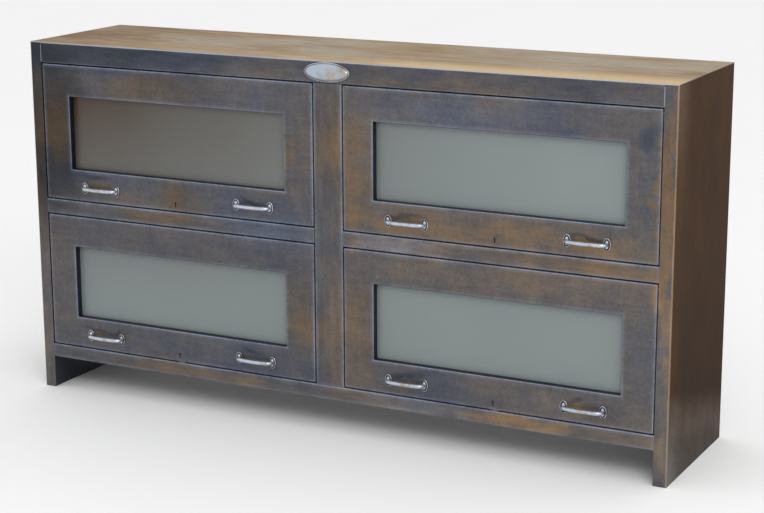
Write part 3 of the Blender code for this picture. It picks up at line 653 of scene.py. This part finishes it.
def keep_piece(name, bm, material, body, stands_for, thickness=0.0, angle=SHARP, punches=()):
    """Turns a bmesh into a finished piece that rides on a body and stands for nodes.

    Folds that look up are painted brighter than folds that look down, partly as wear and partly as a painted
    highlight from the light above, so the wear mark is scaled here, where every face has its final
    direction.
    A piece without a sheet's thickness is a solid, so its open ends are closed. Punches are solids cut out
    of the sheet.
    """
    if not thickness:
        bmesh.ops.holes_fill(bm, edges=[edge for edge in bm.edges if edge.is_boundary])
        bmesh.ops.recalc_face_normals(bm, faces=bm.faces)
    wear_and_sheen = bm.faces.layers.float["wear_and_sheen"]
    bm.normal_update()
    for face in bm.faces:
        face[wear_and_sheen] *= WEAR_AND_SHEEN_BASE + WEAR_AND_SHEEN_UP * face.normal.z
    mesh = bpy.data.meshes.new(name)
    bm.to_mesh(mesh)
    bm.free()
    mesh.shade_smooth()
    mesh.materials.append(material)
    piece = bpy.data.objects.new(name, mesh)
    bpy.context.scene.collection.objects.link(piece)
    if thickness:
        apply_modifier(piece, "SOLIDIFY", thickness=thickness, offset=-1, use_even_offset=True)
    for punch_bm in punches:
        bmesh.ops.recalc_face_normals(punch_bm, faces=punch_bm.faces)
        punch_mesh = bpy.data.meshes.new("punch")
        punch_bm.to_mesh(punch_mesh)
        punch_bm.free()
        punch = bpy.data.objects.new("punch", punch_mesh)
        bpy.context.scene.collection.objects.link(punch)
        apply_modifier(piece, "BOOLEAN", object=punch, solver="EXACT")
        bpy.data.objects.remove(punch)
    mesh.set_sharp_from_angle(angle=math.radians(angle))
    apply_modifier(piece, "WEIGHTED_NORMAL", keep_sharp=True)
    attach(piece, body)
    if stands_for:
        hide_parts(*stands_for)
    return piece


print("edges over", SHARP, "degrees stay sharp, on weld beads over", SHARP_BEAD)

# %% [markdown]
# A press brake folds a strip along straight lines, so one helper takes the corners of a folded section and
# runs them along the piece. Holes are made as in the shop, with a round punch or a square one: a solid that
# is pushed through the sheet and taken away with a Boolean modifier.


# %% Folding and punching
PUNCH_SIDES = 32


def folded_strip(corners, run, upright):
    """A strip with its folds, before its thickness: corners of its outside, and the way it runs."""
    bm = new_mesh()
    line = [Vector(corner) for corner in corners]
    ends = [bm.verts.new(line[0]), bm.verts.new(line[0] + Vector(run))]
    row = [bm.edges.new(ends)]
    folds = []
    for here, after in zip(line, line[1:]):
        row = grow(bm, row, Matrix.Translation(after - here))
        folds += row
    mark(bm, bm.faces, upright=upright)
    bmesh.ops.recalc_face_normals(bm, faces=bm.faces)
    made = round_edges(bm, folds[:-1], FOLD)
    mark(bm, made, upright=upright)
    return bm


def face_out(bm, outward):
    """Turns all faces over unless the largest one looks along outward."""
    largest = max(bm.faces, key=lambda face: face.calc_area())
    if largest.normal.dot(Vector(outward)) < 0:
        bmesh.ops.reverse_faces(bm, faces=bm.faces)


def round_punch(middle, radius, way, half_length):
    """A round punch through a point."""
    bm = bmesh.new()
    turn = Vector(way).to_track_quat("Z", "Y").to_matrix().to_4x4()
    bmesh.ops.create_cone(
        bm, cap_ends=True, segments=PUNCH_SIDES, radius1=radius, radius2=radius, depth=2 * half_length,
        matrix=Matrix.Translation(middle) @ turn,
    )
    return bm


def square_punch(middle, size):
    """A square punch about a point."""
    bm = bmesh.new()
    bmesh.ops.create_cube(bm, size=1.0, matrix=Matrix.Translation(middle) @ Matrix.Diagonal((*size, 1)))
    return bm


def bolt_punch(cell, height, depth):
    """The hole for a lock's bolt at a height, half a millimetre clear of the bolt all round."""
    low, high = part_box(f"{cell}_lock_bolt")
    middle, size = (low + high) / 2, high - low + Vector((MM, MM, 0))
    middle.z, size.z = height, depth
    return square_punch(middle, size)


print("round punches have", PUNCH_SIDES, "sides")

# %% [markdown]
# ## The carcass
#
# Each side is one skin folded round the slab's front and back edges. Its outside is the flank, and its
# front flange is the stile that shows beside the doors. The skin is made as one strip, because a separate
# stile would need a seam where the real sheet just turns.

# %% Side skins
FLANK_SHARE = 0.35  # how far a face of the front fold must look sideways to count as flank
for side, suffix in ((-1, "left"), (1, "right")):
    low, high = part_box(f"side_shell_{suffix}")
    inner, outer = side * INNER, side * HALF
    corners = [(inner, FRONT, low.z), (outer, FRONT, low.z), (outer, BACK, low.z), (inner, BACK, low.z)]
    bm = folded_strip(corners, (0, 0, high.z - low.z), 1.0)
    face_out(bm, (side, 0, 0))
    piece = keep_piece(
        f"side_skin_{suffix}", bm, PATINA, "cabinet", [f"side_shell_{suffix}"], SHEET
    )
    piece.data.materials.append(FLANK)
    for face in piece.data.polygons:
        if face.normal.x * side > FLANK_SHARE and abs(face.center.x) > HALF - FOLD:
            face.material_index = 1
    print(piece.name, len(piece.data.polygons), "faces")

# %% [markdown]
# The top, the top rail and the rail's lower flange are one sheet. At each end the front is notched so that
# the stile runs up to the underside of the top. The strip is folded over the full length first, then cut
# along three planes, and the faces in the notches are taken out: a notch is easier to cut than to fold.

# %% Top panel
rail_low = top_low.z
RAIL_DEPTH = 25 * MM
LOOKS_UP = 0.5  # how far a face of the front fold must look up to count as top
profile = [(BACK, TOP), (FRONT, TOP), (FRONT, rail_low), (FRONT + RAIL_DEPTH, rail_low)]
corners = [(-HALF, y, z) for y, z in profile]
bm = folded_strip(corners, (2 * HALF, 0, 0), 0.0)
face_out(bm, (0, 0, 1))
stile_top = TOP - SHEET - SEAM
for point, normal in (
    ((INNER - SEAM, 0, 0), (1, 0, 0)),
    ((SEAM - INNER, 0, 0), (1, 0, 0)),
    ((0, 0, stile_top), (0, 0, 1)),
):
    bmesh.ops.bisect_plane(bm, geom=[*bm.verts, *bm.edges, *bm.faces], plane_co=point, plane_no=normal)
notch = [
    face
    for face in bm.faces
    if abs(face.calc_center_median().x) > INNER and face.calc_center_median().z < stile_top
]
bmesh.ops.delete(bm, geom=notch, context="FACES")
piece = keep_piece("top_and_rail", bm, PATINA, "cabinet", ["top_panel"], SHEET)
piece.data.materials.append(TOP_STEEL)
for face in piece.data.polygons:
    if face.normal.z > LOOKS_UP and face.center.z > TOP - 2 * FOLD:
        face.material_index = 1
print(piece.name, len(piece.data.polygons), "faces")

# %% [markdown]
# Rails fold back below the face as a flange, and above it as the ledge and lip that a closed door meets.
# The ledge has a slot under each lock, half a millimetre clear all round the bolt that drops into it. The
# slots are cut last, when the sheet already has its thickness, so that their walls are closed.

# %% Rails
LIP_HEIGHT = 7 * MM
STRIKE_REACH, STRIKE_DEPTH = 30 * MM, 4 * FOLD
door_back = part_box("upper_left_backing_frame")[0].y + SHEET
for name in ("bottom_rail", "mid_rail_left", "mid_rail_right"):
    low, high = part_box(name)
    sill = high.z - LIP_HEIGHT
    lip = door_back + SEAM
    x = low.x
    corners = [
        (x, FRONT + RAIL_DEPTH, low.z), (x, FRONT, low.z), (x, FRONT, sill), (x, lip, sill), (x, lip, high.z)
    ]
    bm = folded_strip(corners, (high.x - low.x, 0, 0), 0.0)
    face_out(bm, (0, -1, 0))
    wear_and_sheen_rim(bm, front_faces(bm))
    punches = []
    for cell in CELLS:
        bolt_low, bolt_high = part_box(f"{cell}_lock_bolt")
        if low.x < bolt_low.x and bolt_high.x < high.x and abs(bolt_low.z - sill) < STRIKE_REACH:
            punches.append(bolt_punch(cell, sill, STRIKE_DEPTH))
    piece = keep_piece(
        f"{name}_sheet", bm, PATINA, "cabinet", [name], SHEET, punches=punches
    )
    print(piece.name, len(piece.data.polygons), "faces")

# %% [markdown]
# The wide post between the doors is a shallow channel, open at the back. One hinge pin of each door ends
# inside it. Two pins share a height, so one long punch there goes through both walls at once.

# %% Centre post
PUNCH_SPARE = 5 * MM
low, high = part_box("centre_post")
corners = [(low.x, high.y, low.z), (low.x, FRONT, low.z), (high.x, FRONT, low.z), (high.x, high.y, low.z)]
bm = folded_strip(corners, (0, 0, high.z - low.z), 1.0)
face_out(bm, (0, -1, 0))
wear_and_sheen_rim(bm, front_faces(bm))
punches = []
for cell in ("lower_right", "upper_right"):
    pin_low, pin_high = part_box(f"{cell}_pin_left")
    pin_middle = (pin_low + pin_high) / 2
    radius = (pin_high.z - pin_low.z) / 2 + SEAM
    punches.append(round_punch((0, pin_middle.y, pin_middle.z), radius, (1, 0, 0), high.x + PUNCH_SPARE))
post = keep_piece(
    "centre_post_sheet", bm, PATINA, "cabinet", ["centre_post"], SHEET, punches=punches
)
print(post.name, len(post.data.polygons), "faces")

# %% [markdown]
# The top rail meets each stile in a seam that was welded from the front and filed almost flush. A bead is
# a ring of edges grown upwards in ripples, as the torch left it. A bump texture could draw the ripples, but
# not the bead's round edge against the gap.

# %% Weld seams
BEAD, BEAD_PROUD, RIPPLE = 1.3 * MM, 0.35 * MM, 2.2 * MM
BEAD_SIDES, SWELL = 12, 1.12
# The bead is bright like a fold: wear, and a painted highlight.
BEAD_WEAR_AND_SHEEN = 2.2  # an upright face keeps 0.45 of this, which is a full fold's wear
for side, suffix in ((-1, "left"), (1, "right")):
    bm = new_mesh()
    base = Matrix.Translation((side * (INNER - SEAM / 2), FRONT + BEAD - BEAD_PROUD, rail_low + FOLD))
    bmesh.ops.create_circle(bm, segments=BEAD_SIDES, radius=BEAD, matrix=base)
    row = bm.edges[:]
    ripples = int((stile_top - rail_low - 2 * FOLD) / RIPPLE)
    for step in range(2 * ripples):
        swell = SWELL if step % 2 else 1 / SWELL
        middle = middle_of(row)
        fatter = Matrix.Diagonal((swell, swell, 1, 1))
        around = Matrix.Translation(middle) @ fatter @ Matrix.Translation(-middle)
        row = grow(bm, row, Matrix.Translation((0, 0, RIPPLE / 2)) @ around)
    mark(bm, bm.faces, wear_and_sheen=BEAD_WEAR_AND_SHEEN)
    keep_piece(f"weld_seam_{suffix}", bm, PATINA, "cabinet", [], angle=SHARP_BEAD)
print("2 beads of", 2 * ripples, "steps")

# %% [markdown]
# ## Doors
#
# A door's front is one sheet: its edges are folded back round the outside and round the window. It starts
# as a flat sheet with a window inset in it; the rims are extruded back and every fold and corner rounded.
# Four mitred members would be nearer to a joiner's frame, but a pressed sheet shows no joints at its
# corners. Then the keyhole is punched through the front and the bolt's hole through the bottom rim.

# %% Door pans
MEMBER = 70 * MM
KEYHOLE_RISE, KEYHOLE_RADIUS = 18 * MM, 2.4 * MM
KEYHOLE_WIDTH, KEYHOLE_DROP, KEYHOLE_DEPTH = 2.6 * MM, 8.5 * MM, 6 * MM
DOOR_UPRIGHT = 0.4  # one grain for the whole door, between along and up


def door_pan(cell):
    """A door's folded sheet with its window, keyhole and bolt hole."""
    low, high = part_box(f"{cell}_door_pan")
    middle = (low + high) / 2
    wide, tall = high.x - low.x, high.z - low.z
    bm = new_mesh()
    stand = Matrix.Translation((middle.x, FRONT, middle.z)) @ Matrix.Rotation(math.radians(90), 4, "X")
    flat = stand @ Matrix.Diagonal((wide, tall, 1, 1))
    bmesh.ops.create_grid(bm, x_segments=1, y_segments=1, size=0.5, matrix=flat)
    window = bm.faces[:]
    bmesh.ops.inset_region(bm, faces=window, thickness=MEMBER, use_boundary=True, use_even_offset=True)
    bmesh.ops.delete(bm, geom=window, context="FACES_ONLY")
    mark(bm, bm.faces, upright=DOOR_UPRIGHT)
    inner_rim = [
        edge
        for edge in bm.edges
        if edge.is_boundary and all(abs(vert.co.x - middle.x) < wide / 2 - MEMBER / 2 for vert in edge.verts)
    ]
    outer_rim = [edge for edge in bm.edges if edge.is_boundary and edge not in inner_rim]
    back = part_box(f"{cell}_glass")[0].y - SEAM
    before = set(bm.faces)
    grow(bm, inner_rim, Matrix.Translation((0, back - FRONT, 0)))
    # The window's reveal faces are marked for the patina's painted shade.
    mark(bm, [face for face in bm.faces if face not in before], recess=1.0)
    grow(bm, outer_rim, Matrix.Translation((0, high.y - FRONT, 0)))
    bmesh.ops.recalc_face_normals(bm, faces=bm.faces)
    face_out(bm, (0, -1, 0))
    corner_edges = [
        edge
        for edge in bm.edges
        if not edge.is_boundary and abs((edge.verts[0].co - edge.verts[1].co).normalized().y) > 0.9
    ]
    made = round_edges(bm, inner_rim + outer_rim + corner_edges, FOLD)
    mark(bm, [face for face in made if face.calc_center_median().y > FRONT + FOLD], wear_and_sheen=0.0)
    wear_and_sheen_rim(bm, front_faces(bm))
    keyhole = Vector((middle.x, FRONT, low.z + KEYHOLE_RISE))
    slot_middle = keyhole - Vector((0, 0, KEYHOLE_DROP / 2))
    punches = [
        round_punch(keyhole, KEYHOLE_RADIUS, (0, 1, 0), KEYHOLE_DEPTH / 2),
        square_punch(slot_middle, (KEYHOLE_WIDTH, KEYHOLE_DEPTH, KEYHOLE_DROP)),
        bolt_punch(cell, low.z, 2 * FOLD),
    ]
    return keep_piece(
        f"{cell}_door_sheet", bm, PATINA, f"{cell}_door", [f"{cell}_door_pan"], SHEET,
        punches=punches,
    )


for cell in CELLS:
    piece = door_pan(cell)
    print(piece.name, len(piece.data.polygons), "faces")

# %% [markdown]
# The pane's edges are ground, so that the glazier's fingers survive: a plate with a small flat bevel of one
# segment. More segments would make a round edge, which a grinding belt doesn't leave.

# %% Panes
GROUND = 0.5 * MM
for cell in CELLS:
    low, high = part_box(f"{cell}_glass")
    bm = new_mesh()
    place = Matrix.Translation((low + high) / 2) @ Matrix.Diagonal((*(high - low), 1))
    bmesh.ops.create_cube(bm, size=1.0, matrix=place)
    round_edges(bm, bm.edges[:], GROUND, 1, 0.0)
    keep_piece(f"{cell}_pane", bm, GLASS, f"{cell}_door", [f"{cell}_glass"])
print("4 panes")

# %% [markdown]
# ## Handles
#
# Each pull is a forged bar, bowed a little away from the door, between two oval plates with a raised rim.
# The plates come first. They are pressed ovals: the outline's face is extruded again and again, and each
# time its ring is scaled a little smaller and set higher or lower. Insets would do for the first steps, but
# they cross over themselves at the narrow ends, where a scaled ring doesn't.

# %% Oval plates
FEET = 83 * MM
RING = 24
PLATE = (8.4 * MM, 13.1 * MM)


def terrace(bm, middle, half_width, half_height, steps):
    """A pressed oval, grown from its outline: each step says how far in its new edge lies, and how high."""
    seat = Matrix.Translation(middle) @ Matrix.Rotation(math.radians(90), 4, "X")
    outline = seat @ Matrix.Diagonal((half_width, half_height, 1, 1))
    ring = bmesh.ops.create_circle(bm, cap_ends=True, segments=2 * RING, radius=1.0, matrix=outline)["verts"]
    face = ring[0].link_faces[0]
    if face.normal.y > 0:
        face.normal_flip()
    about, inset, height = Matrix.Translation(-Vector(middle)), 0.0, 0.0
    for next_inset, next_height, dirt in steps:
        before = set(bm.faces)
        face = bmesh.ops.extrude_discrete_faces(bm, faces=[face])["faces"][0]
        narrower = (half_width - next_inset) / (half_width - inset)
        lower = (half_height - next_inset) / (half_height - inset)
        bmesh.ops.scale(bm, verts=face.verts, vec=(narrower, 1, lower), space=about)
        bmesh.ops.translate(bm, verts=face.verts, vec=(0, height - next_height, 0))
        mark(bm, [made for made in bm.faces if made not in before], recess=dirt)
        inset, height = next_inset, next_height


def oval_plate(bm, x, z, front):
    """A plate with a rounded edge, a raised rim, a sunk field and a boss where the bar comes out."""
    rim = [(0, 1.3, 0.6), (0.25, 1.8, 0.4), (0.8, 2.2, 0.2), (1.4, 2.3, 0.2), (1.9, 2.0, 0.6)]
    field = [(2.4, 1.3, 1), (3.4, 1.3, 1), (3.9, 1.9, 1)]
    boss = [(4.6, 3.2, 0.5), (5.4, 4.2, 0), (6.2, 4.6, 0)]
    steps = [(inset * MM, height * MM, dirt) for inset, height, dirt in rim + field + boss]
    terrace(bm, (x, front, z), *PLATE, steps)


print("plates", round(2 * PLATE[0] / MM, 1), "by", round(2 * PLATE[1] / MM, 1), "mm")

# %% [markdown]
# The bar is a ring of edges grown step by step and turned a little each time, as a smith bends it: out of
# the first plate, round a bend, along a shallow bow, round the other bend, and back into the second plate.
# A curve with a bevel would be quicker, but its section twists and shrinks in tight bends.

# %% Pulls
BAR = 4.3 * MM
BEND_RADIUS = 11 * MM
ROOT = 2 * MM  # the bar starts this far in front of the door's face, inside its plate
BOW = math.radians(9)  # how far the bar's ends lean back from its middle
BEND = math.radians(90) - BOW
BEND_STEPS, BOW_STEPS = 8, 12


def sweep(bm, row, centre, angle, steps):
    """Grows a ring of edges round an upright axis through a point."""
    turn = Matrix.Rotation(angle / steps, 4, "Z")
    for _ in range(steps):
        row = grow(bm, row, Matrix.Translation(centre) @ turn @ Matrix.Translation(-centre))
    return row


def pull(cell, suffix):
    """The bent bar and its two plates."""
    low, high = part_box(f"{cell}_handle_{suffix}")
    x, z = (low.x + high.x) / 2, (low.z + high.z) / 2
    half, root = FEET / 2, FRONT - ROOT
    bow_depth = (half - BEND_RADIUS) * math.tan(BOW / 2)
    stand = FRONT - low.y - BAR - ROOT - BEND_RADIUS - bow_depth - SEAM
    bm = new_mesh()
    start = Matrix.Translation((x - half, root, z)) @ Matrix.Rotation(math.radians(90), 4, "X")
    bmesh.ops.create_circle(bm, segments=RING, radius=BAR, matrix=start)
    row = grow(bm, bm.edges[:], Matrix.Translation((0, -stand, 0)))
    row = sweep(bm, row, Vector((x - half + BEND_RADIUS, root - stand, z)), BEND, BEND_STEPS)
    bow_radius = (half - BEND_RADIUS * math.sin(BEND)) / math.sin(BOW)
    centre = middle_of(row) + Vector((math.sin(BOW), math.cos(BOW), 0)) * bow_radius
    centre.x = x
    row = sweep(bm, row, centre, 2 * BOW, BOW_STEPS)
    centre = Vector((x + half - BEND_RADIUS, middle_of(row).y + BEND_RADIUS * math.cos(BOW), z))
    row = sweep(bm, row, centre, BEND, BEND_STEPS)
    nearest = min(vert.co.y for edge in row for vert in edge.verts)
    grow(bm, row, Matrix.Translation((0, root - nearest, 0)))
    bmesh.ops.recalc_face_normals(bm, faces=bm.faces)
    for foot in (-half, half):
        oval_plate(bm, x + foot, z, FRONT - SEAM)
    name, stands_for = f"{cell}_pull_{suffix}", [f"{cell}_handle_{suffix}"]
    return keep_piece(name, bm, HANDLE_STEEL, f"{cell}_door", stands_for)


for cell in CELLS:
    for suffix in ("left", "right"):
        piece = pull(cell, suffix)
print("8 pulls, the last with", len(piece.data.polygons), "faces")

# %% [markdown]
# ## Badge
#
# The oval plate on the top rail is blank. It is a low dome inside a thin raised rim, pressed from one
# sheet, so the same scaled rings make it; in the dome they climb less and less. A flattened sphere would
# give the dome, but neither the rim nor the groove beside it.

# %% Badge
DOME_RINGS = 9
low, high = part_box("badge")
centre, size = (low + high) / 2, high - low
bm = new_mesh()
RIM = [(0.0, 1.2, 0), (0.4, 1.9, 0), (1.2, 2.3, 0), (2.0, 2.2, 0.2)]
GROOVE = [(2.6, 1.7, 0.9), (3.2, 1.7, 0.9), (3.8, 2.1, 0.3)]
steps = [(inset * MM, height * MM, dirt) for inset, height, dirt in RIM + GROOVE]
start, rim_height = steps[-1][:2]
for step in range(1, DOME_RINGS):
    share = step / DOME_RINGS
    climb = math.sqrt(1 - (1 - share) ** 2) * (size.y - rim_height)
    steps.append((start + (size.z / 2 - start) * share, rim_height + climb, 0.0))
terrace(bm, (centre.x, high.y, centre.z), size.x / 2, size.z / 2, steps)
lowest = min(vert.co.y for vert in bm.verts)
print("badge stands", round((high.y - lowest) / MM, 2), "mm of", round(size.y / MM, 2))
keep_piece("blank_badge", bm, BADGE_STEEL, "cabinet", ["badge"])

# %% [markdown]
# ## Pieces kept from the frame
#
# Liners, shelves, floor, divider, back, backing frames, locks, pins and stays have the right shape already.
# They keep their meshes and get a finish. Only nodes that no piece stands for are still shown, so the loop
# skips the hidden ones.

# %% Finish the carried-over nodes
for name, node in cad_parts.items():
    if node.hide_render:
        continue
    if name.endswith(("stay_rod", "stay_guide", "pin_left", "pin_right")):
        finish = PLATED
    elif "lock" in name:
        finish = LOCK_STEEL
    elif name == "back_panel":
        finish = BACK_STEEL
    elif name.endswith("backing_frame"):
        finish = PATINA
    elif name.startswith("side_liner"):
        finish = LINER_STEEL
    else:
        finish = INNER_STEEL
    node.data.materials.clear()
    node.data.materials.append(finish)
print("finished", sum(not node.hide_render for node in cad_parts.values()), "nodes")

# %% [markdown]
# ## Floor and light
#
# A plain pale floor and an even pale surround, as in a catalogue. One large soft light stands in front to
# the right, so that the folds catch it and the left end stays a little darker.

# %% Floor
FLOOR_REACH = 30
FLOOR_DARK, FLOOR_PALE = (0.93, 0.93, 0.93), (0.95, 0.95, 0.95)
recipe = Recipe("pale_floor")
cloud = recipe.noise(1.5, 2.0, 0.5)
FLOOR = recipe.done(
    Base_Color=recipe.blend(cloud, FLOOR_DARK, FLOOR_PALE), Roughness=0.9, Specular_IOR_Level=0.1
)
bm = bmesh.new()
bmesh.ops.create_grid(bm, x_segments=1, y_segments=1, size=FLOOR_REACH)
mesh = bpy.data.meshes.new("floor")
bm.to_mesh(mesh)
bm.free()
mesh.materials.append(FLOOR)
floor = bpy.data.objects.new("floor", mesh)
bpy.context.scene.collection.objects.link(floor)
print("floor", 2 * FLOOR_REACH, "m across")

# %% [markdown]
# The world gives most of the light, evenly from all sides. One large lamp adds a direction, and its size
# keeps the shadow soft.


# %% Light
SURROUND = 0.95
world = bpy.data.worlds.new("studio")
world.use_nodes = True
sky = world.node_tree.nodes["Background"].inputs
sky["Color"].default_value, sky["Strength"].default_value = (1.0, 1.0, 1.0, 1.0), SURROUND
bpy.context.scene.world = world


def soft_light(name, place, target, size, power):
    """A large rectangular lamp that looks at a point."""
    lamp = bpy.data.lights.new(name, "AREA")
    lamp.shape = "RECTANGLE"
    lamp.size, lamp.size_y = size
    lamp.energy = power
    made = bpy.data.objects.new(name, lamp)
    bpy.context.scene.collection.objects.link(made)
    toward = Vector(target) - Vector(place)
    made.matrix_world = Matrix.Translation(place) @ toward.to_track_quat("-Z", "Y").to_matrix().to_4x4()
    print(name, "light", power, "W,", size, "m")


soft_light("key", (2.6, -3.2, 3.0), (0, 0, 0.4), (2.2, 1.6), 60)
